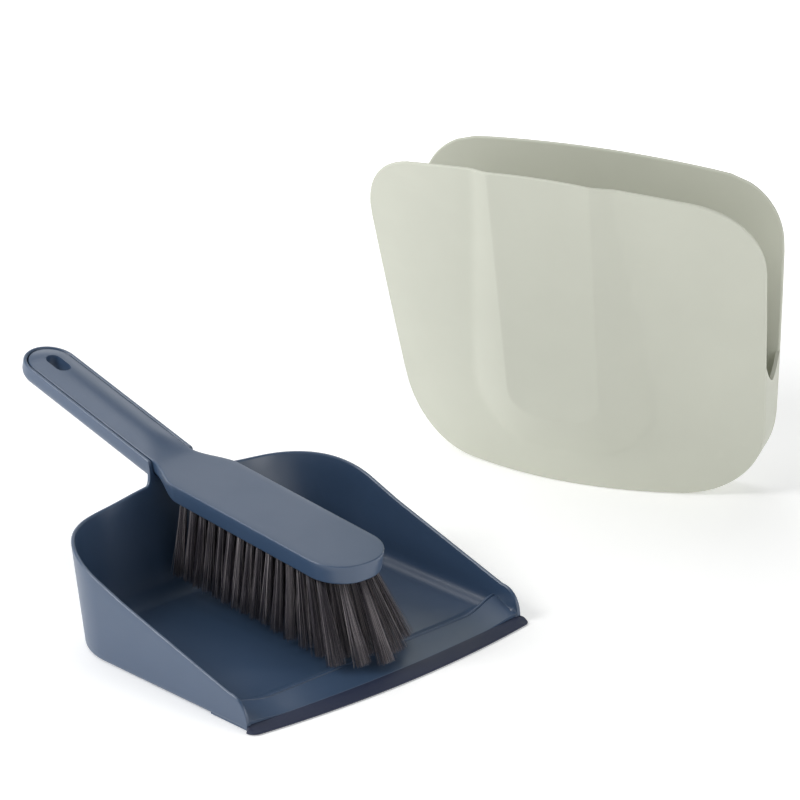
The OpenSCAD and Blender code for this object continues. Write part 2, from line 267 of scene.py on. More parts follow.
def rim_height(y):
    """Height of the rim at y: rounded nose, straight slope, then level."""
    if y < SLOPE_START[0]:
        t = min(1.0, max(0.0, (SLOPE_START[0] - y) / NOSE_R))
        return NOSE_FOOT + (SLOPE_START[1] - NOSE_FOOT) * math.sqrt(max(0.0, 1 - t ** 2.3))
    if y < SLOPE_END[0]:
        t = (y - SLOPE_START[0]) / (SLOPE_END[0] - SLOPE_START[0])
        return SLOPE_START[1] + t * (SLOPE_END[1] - SLOPE_START[1])
    if y > LEVEL_Y:
        return RIM_H
    p = np.array([SLOPE_END, (SLOPE_END[0] + SLOPE_PULL[0], SLOPE_END[1] + SLOPE_PULL[1]),
                  (LEVEL_Y - LEVEL_PULL, RIM_H), (LEVEL_Y, RIM_H)])
    low, high = 0.0, 1.0
    for _ in range(24):
        t = (low + high) / 2
        q = (1 - t) ** 3 * p[0] + 3 * (1 - t) ** 2 * t * p[1] + 3 * (1 - t) * t * t * p[2] + t ** 3 * p[3]
        if q[0] < y:
            low = t
        else:
            high = t
    return float(q[1])


def station_rim(station):
    """Height of the wall's top edge at a station, with the hollow curve up to the trough."""
    z = 30.0
    for _ in range(12):
        point = tub_point(station, WALL / 2, z)
        z = rim_height(point[1])
    out = abs(point[0]) - WEB_HALF
    if station[0] != "side" and abs(point[0]) < WEB_RUN:
        # the first 0.8 of a smooth step, so that the rim still climbs where the web's fillet starts
        share = (WEB_RUN - abs(point[0])) / (WEB_RUN - WEB_HALF - WEB_FILLET)
        z += WEB_RISE * float(ease(share * 0.8) / 0.896)
    if station[0] == "rear" and out < WEB_FILLET:
        top = HANDLE_Z + (point[1] - HANDLE_Y) * math.tan(RISE)
        if out < -WALL:
            return top - TROUGH_DEPTH + WALL * 0.6
        round_share = math.sqrt(max(0.0, 1 - ((WEB_FILLET - max(out, 0.0)) / WEB_FILLET) ** 2))
        top += 0.0 if out > 0.1 else 0.6
        z = RIM_H + WEB_RISE + (top - RIM_H - WEB_RISE) * (1 - round_share)
    return z


def wall_profile(rim):
    """(inset, height) from the outer foot, over the rounded rim, to the inner foot."""
    half = WALL / 2
    outer = FOOT_R if rim > 12 else max(0.6, rim * 0.2)
    room = max(0.3, (rim - half - FLOOR) * 0.8)
    inner = min(BASIN_R, room)
    points = []
    for a in np.linspace(0, 90, 7):
        c, s = unit(a)
        points.append((outer * (1 - s), outer * (1 - c)))
    for t in np.linspace(0, 1, 8)[1:-1]:
        points.append((0.0, outer + t * (rim - half - outer)))
    for a in np.linspace(0, 180, 11):
        c, s = unit(a)
        points.append((half - half * c, rim - half + half * s))
    foot = FLOOR + inner
    for t in np.linspace(0, 1, 8)[1:-1]:
        points.append((WALL, rim - half + t * (foot - rim + half)))
    for a in np.linspace(0, 90, 9):
        c, s = unit(a)
        points.append((WALL + inner * (1 - c), foot - inner * s))
    return points


def pan_stations():
    """Stations (kind, place, side) along the tub's wall, from the right end of the mouth to the left."""
    nose = -1 + 16 * (1 - np.cos(np.linspace(0, math.pi / 2, 20)))
    side = np.concatenate([nose, np.linspace(18, 108, 26)])
    level = np.linspace(52, WEB_HALF + WEB_FILLET, 6)
    fillet = WEB_HALF + WEB_FILLET * (1 - np.sin(np.linspace(0, math.pi / 2, 16)))[1:]
    under_trough = [WEB_HALF - WALL + 0.02, WEB_HALF - WALL - 0.1, 10.0, 5.0]
    right = [("side", float(y), 1) for y in side]
    right += [("corner", float(a), 1) for a in np.linspace(0, math.pi / 2, 30)]
    right += [("rear", float(x), 1) for x in np.concatenate([level, fillet, under_trough])]
    left = [(kind, place, -1) for kind, place, _ in right[::-1]]
    return right + [("rear", 0.0, 1)] + left


def swept_faces(rows, cols):
    """Faces of a section swept from end to end: the grid, its two long edges and the joined ends."""
    last = (rows - 1) * cols
    first_edge = [i * cols for i in range(rows)]
    second_edge = [i * cols + cols - 1 for i in range(rows)]
    ends = list(range(cols)) + [last + i for i in range(cols - 1, -1, -1)]
    return grid_faces(rows, cols) + [first_edge, second_edge[::-1], ends]


def end_caps(cols, rows):
    """Faces that close the first and the last ring of a wrapped grid."""
    return [list(range(cols)), [(rows - 1) * cols + i for i in range(cols - 1, -1, -1)]]


def build_tub():
    """The pan's wall swept round the stations, with its floor and underside as two flat faces."""
    stations = pan_stations()
    verts = []
    cols = 0
    for station in stations:
        profile = wall_profile(station_rim(station))
        cols = len(profile)
        for inset, z in profile:
            verts.append(tub_point(station, inset, z))
    obj = mesh_object("pan_tub", verts, swept_faces(len(stations), cols))
    close_up(obj, 40)
    return obj


def ramp_front(x):
    """Y of the ramp's front edge."""
    half = PAN_W / 2
    radius = half * half / (2 * MOUTH_BOW) + MOUTH_BOW / 2
    return radius - MOUTH_BOW - math.sqrt(radius * radius - min(x * x, half * half))


def build_ramp():
    """The wedge behind the lip, whose ridge climbs towards the side walls."""
    half = PAN_W / 2 - 0.7
    xs = half * np.sin(np.linspace(-math.pi / 2, math.pi / 2, 91))
    r = 1.2
    verts = []
    for x in xs:
        climb = float(ease((abs(x) - 74) / 34.0)) ** 1.4
        front = ramp_front(x)
        ridge_y = RIDGE_Y + 4.4 * climb
        ridge_z = RIDGE_Z + 4.2 * climb
        low_z = RAMP_FRONT_Z + 2.2 * climb
        back = RAMP_BACK + 3.0 * climb
        loop = [(front + 0.2, 0.05), (front, 0.3), (front, low_z - 0.25)]
        for t in np.linspace(0, 1, 9):
            hollow = 0.5 * math.sin(math.pi * t)
            y = front + 0.2 + t * (ridge_y - 2.2 - front)
            loop.append((y, low_z + t * (ridge_z - 0.35 - low_z) - hollow))
        for a in np.linspace(15, 150, 7):
            c, s = unit(a)
            loop.append((ridge_y - r * c, ridge_z - r + r * s))
        for t in np.linspace(0.1, 1, 8):
            fall = 1 - (1 - t) ** 2.0
            y = ridge_y + r + t * (back - ridge_y - r)
            loop.append((y, (ridge_z - 1.0) + fall * (FLOOR - 0.1 - ridge_z + 1.0)))
        loop.append((back, 0.05))
        verts += [(x, y, z) for y, z in loop]
    rows, cols = len(xs), len(loop)
    obj = mesh_object("pan_ramp", verts, grid_faces(rows, cols, wrap=True) + end_caps(cols, rows))
    close_up(obj, 38)
    return obj


def build_trough():
    """U-shaped channel with a half-round end, open above and at its root."""
    half = TROUGH_W / 2
    stations = []
    straight = TROUGH_LEN - half
    for t in np.linspace(0, 1, 26):
        stations.append((half, t * straight, 1.0, 0.0, t == 0))
    for a in np.linspace(0, 180, 41)[1:-1]:
        c, s = unit(a)
        stations.append((half * c, straight + half * s, c, s, False))
    for t in np.linspace(1, 0, 26):
        stations.append((-half, t * straight, -1.0, 0.0, t == 0))
    r_out, r_in, lip = TROUGH_R, TROUGH_R - WALL, WALL / 2
    profile = []
    for a in np.linspace(0, 90, 11):
        c, s = unit(a)
        profile.append((r_out * (1 - s), -TROUGH_DEPTH + r_out * (1 - c)))
    profile += [(0.0, -3.4), (0.0, -2.0)]
    for a in np.linspace(0, 180, 13):
        c, s = unit(a)
        profile.append((lip - lip * c, -lip + lip * s))
    profile += [(WALL, -2.0), (WALL, -3.4)]
    for a in np.linspace(0, 90, 9):
        c, s = unit(a)
        profile.append((WALL + r_in * (1 - c), WALL - TROUGH_DEPTH + r_in - r_in * s))
    verts = []
    for x, along, nx, ny, root in stations:
        for inset, height in profile:
            a = along - ny * inset
            point = handle_point(x - nx * inset, a, height)
            if root:
                # the root follows the leaning inner face of the rear wall
                for _ in range(6):
                    rear = tub_numbers(point[2])[1] - WALL + 0.15
                    a += (rear - point[1]) / math.cos(RISE)
                    point = handle_point(x - nx * inset, a, height)
            verts.append(point)
    obj = mesh_object("pan_trough", verts, swept_faces(len(stations), len(profile)))
    close_up(obj, 40)
    return obj


def slot_cutter(top, bottom, flare):
    """Upright rounded slot in the handle frame, with its upper edge flared by a quarter round."""
    centre = TROUGH_LEN - WALL - NEST_GAP - SLOT_FROM_TIP
    outline = []
    for start, end in ((-90, 1), (90, -1)):
        for a in np.linspace(start, start + 180, 17):
            c, s = unit(a)
            outline.append((s, c, end))
    levels = [(0.0, bottom), (0.0, top - flare)]
    for a in np.linspace(0, 90, 6)[1:]:
        c, s = unit(a)
        levels.append((flare * (1 - c), top - flare + flare * s))
    levels.append((flare, top + 4.0))
    verts = []
    for grow, z in levels:
        for nx, ny, end in outline:
            r = SLOT_W / 2 + grow
            verts.append(handle_point(nx * r, centre + end * (SLOT_LEN - SLOT_W) / 2 + ny * r, z))
    rows, cols = len(levels), len(outline)
    caps = [cap[::-1] for cap in end_caps(cols, rows)]
    obj = mesh_object("slot_cutter", verts, grid_faces(rows, cols, wrap=True) + caps)
    close_up(obj)
    return obj


def build_lip():
    """Soft strip along the mouth with a rounded front edge and rounded ends."""
    half = PAN_W / 2 + 2.0
    edge, r = 0.55, 0.5
    xs = half * np.sin(np.linspace(-math.pi / 2, math.pi / 2, 121))
    verts = []
    for x in xs:
        front = -MOUTH_BOW - LIP_W + LIP_BOW_R - math.sqrt(LIP_BOW_R * LIP_BOW_R - x * x)
        back = ramp_front(x) + 1.2 if abs(x) < PAN_W / 2 - 1 else -1.1
        gap = max(0.0, LIP_END_R - (half - abs(x)))
        pull = LIP_END_R - math.sqrt(max(0.0, LIP_END_R * LIP_END_R - gap * gap))
        front += pull
        back = max(back - pull * 0.4, front + 0.4)
        loop = [(back, 0.05), (front + 0.6, 0.05)]
        for a in np.linspace(-60, 60, 5):
            c, s = unit(a)
            loop.append((front + r - r * c, edge + r * s))
        run = max(0.1, back - front)
        slope_end = min(LIP_W - 1.0, run * 0.8)
        for t in (0.12, 0.4, 0.7, 1.0):
            rise = t * (LIP_THICK - edge - r) * min(1.0, run / 6)
            loop.append((front + r + t * (slope_end - r), edge + r + rise))
        loop.append((back, loop[-1][1]))
        verts += [(x, y, z) for y, z in loop]
    rows, cols = len(xs), len(loop)
    obj = mesh_object("mouth_lip", verts, grid_faces(rows, cols, wrap=True) + end_caps(cols, rows))
    close_up(obj, 32)
    return obj


# ---- brush body ----
def top_plane(y):
    """Height of the brush's top: the head's plane, then the handle's, with a soft bend between them."""
    head = HEAD_Z + (y - HEAD_Y) * math.tan(math.radians(HEAD_SLOPE))
    handle = HANDLE_Z + (y - HANDLE_Y) * math.tan(RISE)
    return 0.5 * (head + handle + math.sqrt((head - handle) ** 2 + 1.6))


HANDLE_W = TROUGH_W - 2 * WALL - 2 * NEST_GAP
HANDLE_T = TROUGH_DEPTH - WALL - NEST_GAP
HANDLE_TIP = HANDLE_Y + (TROUGH_LEN - WALL - NEST_GAP) * math.cos(RISE)


def brush_outline():
    """(x, y, nx, ny) of the right half of the brush's outline, from its front tip to the handle's tip."""
    points = []
    inner = HEAD_W / 2 - HEAD_CORNER
    for x in (0.0, inner * 0.6):
        points.append((x, HEAD_Y))
    for a in np.linspace(0, 90, 25):
        c, s = unit(a)
        points.append((inner + HEAD_CORNER * s, HEAD_Y + HEAD_CORNER * (1 - c)))
    for y in np.linspace(HEAD_Y + HEAD_CORNER + 5, NECK_START - 4, 20):
        points.append((HEAD_W / 2, y))
    for y in np.linspace(NECK_START, NECK_END, 26):
        drop = float(ease((y - NECK_START) / (NECK_END - NECK_START)))
        points.append((HEAD_W / 2 - (HEAD_W - HANDLE_W) / 2 * drop, y))
    straight = HANDLE_TIP - HANDLE_W / 2 * math.cos(RISE)
    for y in np.linspace(NECK_END + 4, straight - 3, 24):
        points.append((HANDLE_W / 2, y))
    for a in np.linspace(0, 90, 25):
        c, s = unit(a)
        points.append((HANDLE_W / 2 * c, straight + HANDLE_W / 2 * math.cos(RISE) * s))
    points[-1] = (0.0, points[-1][1])
    p = np.array(points)
    tangent = np.gradient(p, axis=0)
    tangent[0] = (1.0, 0.0)
    tangent[-1] = (-1.0, 0.0)
    tangent /= np.linalg.norm(tangent, axis=1)[:, None]
    return [(x, y, ty, -tx) for (x, y), (tx, ty) in zip(p, tangent)]


def brush_levels(neck):
    """(inset, drop) pairs of the side, from its top edge to its bottom edge.

    neck is 0 on the head and 1 on the handle.
    """
    edge = 0.7 + 0.5 * neck
    head_thick = HEAD_T / math.cos(math.radians(HEAD_SLOPE))
    thick = head_thick * (1 - neck) + HANDLE_T / math.cos(RISE) * neck
    draft = 1.3 * (1 - neck) + 0.1 * neck
    low = 1.2 * (1 - neck) + (TROUGH_R - WALL - NEST_GAP) * neck
    levels = []
    for a in np.linspace(0, 90, 6):
        c, s = unit(a)
        levels.append((edge * (1 - s), -edge * (1 - c)))
    for t in (0.35, 0.7, 1.0):
        levels.append((draft * t, -edge - t * (thick - low - edge)))
    for a in np.linspace(0, 90, 7)[1:]:
        c, s = unit(a)
        levels.append((draft + low * (1 - c), -(thick - low) - low * s))
    return levels


def build_brush():
    """The brush's moulding: sides swept round the outline, a crowned top and a flat underside."""
    outline = brush_outline()
    rows = len(outline)
    crown_start = HANDLE_Y - 6.0
    sides = []
    for x, y, nx, ny in outline:
        neck = float(ease((y - (NECK_START + 4)) / (NECK_END - NECK_START - 10)))
        column = []
        for inset, drop in brush_levels(neck):
            px, py = max(0.0, x - nx * inset), y - ny * inset
            column.append(np.array([px, py, top_plane(py) + drop]))
        sides.append(column)
    cols = len(sides[0])
    across_n = 12
    verts, faces = [], []

    def add(point):
        """Adds a point and returns its number."""
        verts.append(tuple(point))
        return len(verts) - 1

    right = [[add(p) for p in column] for column in sides]
    left = []
    for i, column in enumerate(sides):
        if outline[i][0] == 0.0:
            left.append(right[i])
        else:
            left.append([add((-p[0], p[1], p[2])) for p in column])
    for i in range(rows - 1):
        for j in range(cols - 1):
            faces.append((right[i][j], right[i][j + 1], right[i + 1][j + 1], right[i + 1][j]))
            faces.append((left[i][j + 1], left[i][j], left[i + 1][j], left[i + 1][j + 1]))

    def fill(level, crowned, flip):
        """Faces between the right and left sides at one level."""
        strips = []
        for i in range(rows):
            a = sides[i][level]
            if outline[i][0] == 0.0:
                strips.append([right[i][level]] * (across_n + 1))
                continue
            y = a[1]
            rise = CROWN * float(ease((y - crown_start) / 30.0)) if crowned else 0.0
            dome = rise * (a[0] / (HANDLE_W / 2)) ** 2 if y > NECK_END else rise
            row = [right[i][level]]
            for k in range(1, across_n):
                t = 1 - 2 * k / across_n
                point = np.array([a[0] * t, y, a[2] + dome * (1 - t * t)])
                row.append(add(point))
            row.append(left[i][level])
            strips.append(row)
        for i in range(rows - 1):
            for k in range(across_n):
                quad = [strips[i][k], strips[i][k + 1], strips[i + 1][k + 1], strips[i + 1][k]]
                quad = [v for n, v in enumerate(quad) if v not in quad[:n]]
                if len(quad) > 2:
                    faces.append(tuple(quad if not flip else quad[::-1]))

    fill(0, True, True)
    fill(cols - 1, False, False)
    obj = mesh_object("brush_shell", verts, faces)
    close_up(obj, 30)
    return obj


# ---- tufts ----
def tuft_axes(node):
    """Root centre, root radius, tip centre and tip radius of each solid tuft in a CAD row, in millimetres."""
    mesh = frame["nodes"][node].data
    co = np.array([v.co for v in mesh.vertices]) / MM
    keys = {}
    merged = np.zeros(len(co), int)
    for i, c in enumerate(co):
        merged[i] = keys.setdefault(tuple(np.round(c, 3)), len(keys))
    parent = list(range(len(keys)))

    def find(a):
        """First point of the connected group that point a belongs to."""
        while parent[a] != a:
            parent[a] = parent[parent[a]]
            a = parent[a]
        return a

    for e in mesh.edges:
        a, b = find(merged[e.vertices[0]]), find(merged[e.vertices[1]])
        parent[a] = b
    groups = {}
    for key, i in keys.items():
        groups.setdefault(find(i), []).append(key)
    axes = []
    for points in groups.values():
        p = np.array(points)
        if len(p) < 8:
            continue
        direction = np.linalg.svd(p - p.mean(0), full_matrices=False)[2][0]
        direction *= -np.sign(direction[2])
        along = (p - p.mean(0)) @ direction
        high, low = p[along < along.min() + 0.5], p[along > along.max() - 0.5]
        root, tip = high.mean(0), low.mean(0)
        root_r = np.linalg.norm(high - root, axis=1).max()
        tip_r = np.linalg.norm(low - tip, axis=1).max()
        axes.append((root, root_r, tip, tip_r))
    return sorted(axes, key=lambda a: a[0][1])


FILAMENTS = 140
BENDS = 3
GOLDEN_TURN = 2.399963
THIRD_TURN = 2.0944


def build_tufts(node, row):
    """Loose filaments for every tuft of a row: thin, slightly bent, splayed towards their trimmed tips.

    Each filament has one random value, the point attribute "shade", which the bristle material reads.
    """
    verts, faces, shades = [], [], []
    for n, (root, root_r, tip, tip_r) in enumerate(tuft_axes(node)):
        axis = tip - root
        length = np.linalg.norm(axis)
        axis = axis / length
        side = np.cross(axis, [0.0, 1.0, 0.0])
        side /= np.linalg.norm(side)
        other = np.cross(axis, side)
        front = max(0.0, 1 - n / 4.5)
        back = max(0.0, (n - 9) / 6.0)
        lean = rng.normal(0, 0.45, 2)
        for f in range(FILAMENTS):
            r = math.sqrt((f + 0.5) / FILAMENTS)
            turn = f * GOLDEN_TURN + rng.uniform(-0.3, 0.3)
            direction = side * math.cos(turn) + other * math.sin(turn)
            spread = tip_r * r * rng.uniform(1.05, 1.42 + 0.8 * front)
            reach = length + rng.normal(0, 0.5 + 0.4 * back) - 0.7 * r * r
            stray = rng.normal(0, 0.28 + 0.3 * back, 3)
            curl = rng.normal(0, 0.22, 3)
            thick = rng.uniform(0.10, 0.155)
            base = len(verts)
            shades += [float(rng.uniform(0, 1))] * (3 * BENDS + 3)
            for b in range(BENDS + 1):
                t = b / BENDS
                out = root_r * 0.92 * r * (1 - t) + spread * t ** 1.15
                centre = root + axis * reach * t + direction * out
                centre = centre + stray * t ** 2 + curl * math.sin(math.pi * t) * t
                centre = centre + (side * lean[0] + other * lean[1]) * t ** 1.5
                width = thick * (1 - 0.45 * max(0.0, t - 0.8) / 0.2)
                for c in range(3):
                    a = THIRD_TURN * c + f
                    verts.append(centre + width * (side * math.cos(a) + other * math.sin(a)))
            for b in range(BENDS):
                for c in range(3):
                    i, j = base + 3 * b + c, base + 3 * b + (c + 1) % 3
                    faces.append((i, j, j + 3, i + 3))
            faces.append((base + 2, base + 1, base))
            end = base + 3 * BENDS
            faces.append((end, end + 1, end + 2))
    points = np.array(verts)
    points[:, 2] = np.maximum(points[:, 2], TUFT_FLOOR_GAP)
    obj = mesh_object("tufts_row_%d" % row, points, faces)
    shade = obj.data.attributes.new("shade", "FLOAT", "POINT")
    shade.data.foreach_set("value", shades)
    return obj


# ---- wall holder ----
def holder_frame():
    """Origin and directions of the holder's own frame, from the record's mounts."""
    mounts = {m["name"]: m for m in frame["record"]["mounts"]}
    wall = np.array(mounts["holder_back"]["axis"], float)
    centre = np.array(mounts["holder_back"]["pos_m"], float) / MM
    centre[2] = 0.0
    along = np.array([wall[1], -wall[0], 0.0])
    origin = centre - wall * (MOUTH_DEPTH + HOLDER_WALL)
    return origin, along, wall


HOLDER_O, HOLDER_U, HOLDER_V = holder_frame()


def holder_point(u, v, z):
    """Point in the holder's frame: u along it, v towards the wall, z up."""
    return HOLDER_O + HOLDER_U * u + HOLDER_V * v + np.array([0.0, 0.0, z])


def bowed(p, q, bow, t):
    """Point at share t of the line from p to q, bowed sideways by bow at its middle."""
    d = q - p
    return p + d * t + 4 * bow * t * (1 - t) * np.array([d[1], -d[0]]) / np.linalg.norm(d)


def panel_outline(bottom, top, height, low_bow, high_bow):
    """Closed outline of a panel, anticlockwise from its lower left corner, as (u, z) points."""
    places = ((-bottom, low_bow), (bottom, low_bow), (top, height), (-top, height))
    corners = [np.array(place, float) for place in places]
    bows = [low_bow, SIDE_BOW, high_bow, SIDE_BOW]
    r_low, r_high = PANEL_CORNERS
    cuts = [r_low, r_low, r_high, r_high]
    points = []
    for i in range(4):
        p, q, after = corners[i], corners[(i + 1) % 4], corners[(i + 2) % 4]
        length, next_length = np.linalg.norm(q - p), np.linalg.norm(after - q)
        r = cuts[(i + 1) % 4]
        a = bowed(p, q, bows[i], 1 - r / length)
        b = bowed(q, after, bows[(i + 1) % 4], r / next_length)
        for t in np.linspace(cuts[i] / length, 1 - r / length, 22)[:-1]:
            points.append(bowed(p, q, bows[i], t))
        pa, pb = a + 0.6 * (q - a), b + 0.6 * (q - b)
        for t in np.linspace(0, 1, 18)[:-1]:
            middle = 3 * (1 - t) ** 2 * t * pa + 3 * (1 - t) * t * t * pb
            points.append((1 - t) ** 3 * a + middle + t ** 3 * b)
    return np.array(points)


def loop_normals(points):
    """Outward unit normals of a closed anticlockwise loop."""
    tangent = np.roll(points, -1, 0) - np.roll(points, 1, 0)
    tangent /= np.linalg.norm(tangent, axis=1)[:, None]
    return np.stack([tangent[:, 1], -tangent[:, 0]], 1)


def inset_outline(points, d):
    """The outline moved inwards by d."""
    return points - loop_normals(points) * d


FRONT = panel_outline(FRONT_BOTTOM, FRONT_TOP, HOLDER_H, *FRONT_BOWS)
BACK = panel_outline(BACK_BOTTOM, BACK_TOP, BACK_H, *BACK_BOWS)


def front_width(z):
    """Half width of the front panel at height z, before its sides' bow."""
    return FRONT_BOTTOM + (FRONT_TOP - FRONT_BOTTOM) * np.asarray(z, float) / HOLDER_H


def back_width(z):
    """Half width of the back panel at height z, before its sides' bow."""
    return BACK_BOTTOM + (BACK_TOP - BACK_BOTTOM) * np.asarray(z, float) / BACK_H


def panel_surface(u, z):
    """Depth of the bowed front face, without the bulge."""
    k = z / HOLDER_H
    a = FRONT_BOTTOM + (FRONT_TOP - FRONT_BOTTOM) * k
    bow = BOW_BOTTOM + (BOW_TOP - BOW_BOTTOM) * k
    return (MOUTH_DEPTH - FOOT_DEPTH) * (1 - k) - bow * (1 - (u / a) ** 2)


def bulge_surface(z):
    """Depth of the bulge's flat, leaning face."""
    return -BULGE_REACH - (z - BULGE_Z) * math.tan(math.radians(BULGE_LEAN))


def bulge_distance(u, z):
    """Distance outside the bulge's flat face, and 0 on it."""
    half = BULGE_FOOT + (BULGE_TOP - BULGE_FOOT) * (z - BULGE_Z) / (HOLDER_H - BULGE_Z)
    du = abs(u) - (half - BULGE_R)
    dz = (BULGE_Z + BULGE_R) - z
    if du > 0 and dz > 0:
        return max(0.0, math.hypot(du, dz) - BULGE_R)
    return max(0.0, abs(u) - half, BULGE_Z - z)


def front_surface(u, z):
    """Depth of the front face: the bulge, its sloping flanks, and the bowed panel round them."""
    panel, face = panel_surface(u, z), bulge_surface(z)
    d = bulge_distance(u, z)
    width = FLANK - FLANK_NARROWING * float(ease((z - BULGE_Z) / FLANK_CLIMB))
    if d >= width or face > panel:
        return panel
    return face + (panel - face) * (d / width)


def column_limits(outline, s_value, width_at):
    """Lowest and highest z of the outline on the tapered column u = s * width_at(z)."""
    s = outline[:, 0] / width_at(outline[:, 1])
    crossings = []
    n = len(outline)
    for i in range(n):
        a, b = s[i] - s_value, s[(i + 1) % n] - s_value
        if a == 0 or a * b < 0:
            t = a / (a - b)
            crossings.append(outline[i, 1] + t * (outline[(i + 1) % n, 1] - outline[i, 1]))
    return (min(crossings), max(crossings)) if len(crossings) > 1 else None


def panel_sheet(name, outline, width_at, depth_at, thick, s_lines, z_share):
    """A sheet over the outline, with a half-round edge all the way round.

    Its columns lie at the shares s_lines of the half width, and its points at the shares z_share of a column.
    """
    half = thick / 2
    inner = inset_outline(outline, half)
    s_inner = inner[:, 0] / width_at(inner[:, 1])
    limit = s_inner.max() * 0.9995
    inside = s_lines[np.abs(s_lines) < limit * 0.9985]
    s_lines = np.concatenate([[-limit], inside, [limit]])
    rows = []
    for s in s_lines:
        low, high = column_limits(inner, s, width_at)
        column = []
        for t in z_share:
            z = low + t * (high - low)
            column.append((s * float(width_at(z)), z))
        rows.append(column)
    n, m = len(rows), len(z_share)
    verts = []
    for side in (0, 1):
        for column in rows:
            for u, z in column:
                verts.append(holder_point(u, depth_at(u, z) + side * thick, z))
    faces = grid_faces(n, m, start=0) + grid_faces(n, m, start=n * m, flip=True)
    ring = [(0, j) for j in range(m)] + [(i, m - 1) for i in range(1, n)]
    ring += [(n - 1, j) for j in range(m - 2, -1, -1)] + [(i, 0) for i in range(n - 2, 0, -1)]
    path = np.array([rows[i][j] for i, j in ring])
    outward = loop_normals(path)
    if ((path - path.mean(0)) * outward).sum() < 0:
        outward = -outward
    arcs = 7
    first = len(verts)
    for (u, z), (ou, oz) in zip(path, outward):
        v = depth_at(u, z)
        for a in np.linspace(0, 180, arcs + 2)[1:-1]:
            c, s = unit(a)
            verts.append(holder_point(u + ou * half * s, v + half - half * c, z + oz * half * s))
    count = len(ring)
    for k in range(count):
        k2 = (k + 1) % count
        a0 = ring[k][0] * m + ring[k][1]
        a1 = ring[k2][0] * m + ring[k2][1]
        line0 = [a0] + [first + k * arcs + c for c in range(arcs)] + [n * m + a0]
        line1 = [a1] + [first + k2 * arcs + c for c in range(arcs)] + [n * m + a1]
        for c in range(arcs + 1):
            faces.append((line0[c], line0[c + 1], line1[c + 1], line1[c]))
    obj = mesh_object(name, verts, faces)
    close_up(obj, 50)
    return obj


def side_strip():
    """The pocket's side and bottom wall between the panels, which ends in a V at each slit."""
    count = 90

    def lower(points, extra):
        """Points of an outline from the left slit round the bottom to the right slit, at even steps."""
        part = points[points[:, 1] < SLIT_Z + extra]
        angle = np.arctan2(part[:, 0], -(part[:, 1] - SLIT_Z - extra - 1))
        part = part[np.argsort(angle)]
        step = np.concatenate([[0], np.cumsum(np.linalg.norm(np.diff(part, axis=0), axis=1))])
        even = np.linspace(0, step[-1], count)
        return np.stack([np.interp(even, step, part[:, 0]), np.interp(even, step, part[:, 1])], 1)

    shares = np.linspace(0, 1, 15)
    sheets = []
    for inset in (0.0, HOLDER_WALL):
        front = resample(inset_outline(FRONT, inset), 900)
        back = resample(inset_outline(BACK, inset), 900)
        rows = []
        for q in shares:
            extra = 15.0 * abs(2 * q - 1) ** 1.7
            line = []
            for (fu, fz), (bu, bz) in zip(lower(front, extra), lower(back, extra)):
                v0 = front_surface(fu, fz) + HOLDER_WALL / 2
                v1 = MOUTH_DEPTH + HOLDER_WALL / 2
                line.append(holder_point(fu + (bu - fu) * q, v0 + (v1 - v0) * q, fz + (bz - fz) * q))
            rows.append(line)
        sheets.append(rows)
    verts = [p for sheet in sheets for row in sheet for p in row]
    n, m = len(shares), count
    faces = grid_faces(n, m) + grid_faces(n, m, start=n * m, flip=True)
    for i in range(n - 1):
        for j in (0, m - 1):
            a, b = i * m + j, (i + 1) * m + j
            faces.append((a, b, n * m + b, n * m + a))
    for j in range(m - 1):
        for i in (0, n - 1):
            a = i * m + j
            faces.append((a, a + 1, n * m + a + 1, n * m + a))
    obj = mesh_object("holder_side", verts, faces)
    close_up(obj, 50)
    return obj


def resample(points, count):
    """A closed outline at count even steps."""
    closed = np.vstack([points, points[:1]])
    step = np.concatenate([[0], np.cumsum(np.linalg.norm(np.diff(closed, axis=0), axis=1))])
    even = np.linspace(0, step[-1], count, endpoint=False)
    return np.stack([np.interp(even, step, closed[:, 0]), np.interp(even, step, closed[:, 1])], 1)


def build_holder():
    """The wall pocket: front and back panels, the strip between them and the screw holes."""
    # shares of the half width: finest on the bulge's flank, which starts at edge, and at the corners
    edge = 0.2484
    flank = np.array([0, 0.6, 1.2, 2.2, 3.5, 5, 7, 9.5, 12.5, 16, 20, 24, 28]) / FRONT_TOP
    inner = np.linspace(0, edge, 20)
    outer = np.linspace(edge + flank[-1], 0.8, 12)[1:]
    corner = 0.8 + 0.21 * np.sin(np.linspace(0, math.pi / 2, 26))[1:]
    positive = np.concatenate([inner, edge + flank[1:], outer, corner])
    s_lines = np.unique(np.concatenate([-positive, positive]))
    overall = 0.5 - 0.5 * np.cos(np.linspace(0, math.pi, 30))
    z_share = np.unique(np.concatenate([overall, np.linspace(0.12, 0.42, 56)]))
    front = panel_sheet("holder_front", FRONT, front_width, front_surface, HOLDER_WALL, s_lines, z_share)
    back_lines = np.unique(np.concatenate([np.linspace(-0.8, 0.8, 17), -corner, corner]))
    back_share = 0.5 - 0.5 * np.cos(np.linspace(0, math.pi, 24))
    back = panel_sheet("holder_back", BACK, back_width, lambda u, z: MOUTH_DEPTH, HOLDER_WALL,
                       back_lines, back_share)
    for mount in frame["record"]["mounts"]:
        if mount["kind"] != "bore":
            continue
        bpy.ops.mesh.primitive_cylinder_add(vertices=40, radius=mount["dims"]["r_mm"] * MM, depth=0.02,
                                            location=Vector(mount["pos_m"]))
        pin = bpy.context.object
        pin.rotation_euler = Vector(mount["axis"]).to_track_quat("Z", "Y").to_euler()
        bpy.ops.object.transform_apply(rotation=True, location=True)
        cut(back, pin)
    close_up(back, 50)
    return joined("wall_holder", [front, back, side_strip()])


# ---- materials ----
def material(name):
    """New node material: the material, its nodes, its links and its shader."""
    mat = bpy.data.materials.new(name)
    mat.use_nodes = True
    nodes, links = mat.node_tree.nodes, mat.node_tree.links
    return mat, nodes, links, nodes["Principled BSDF"]


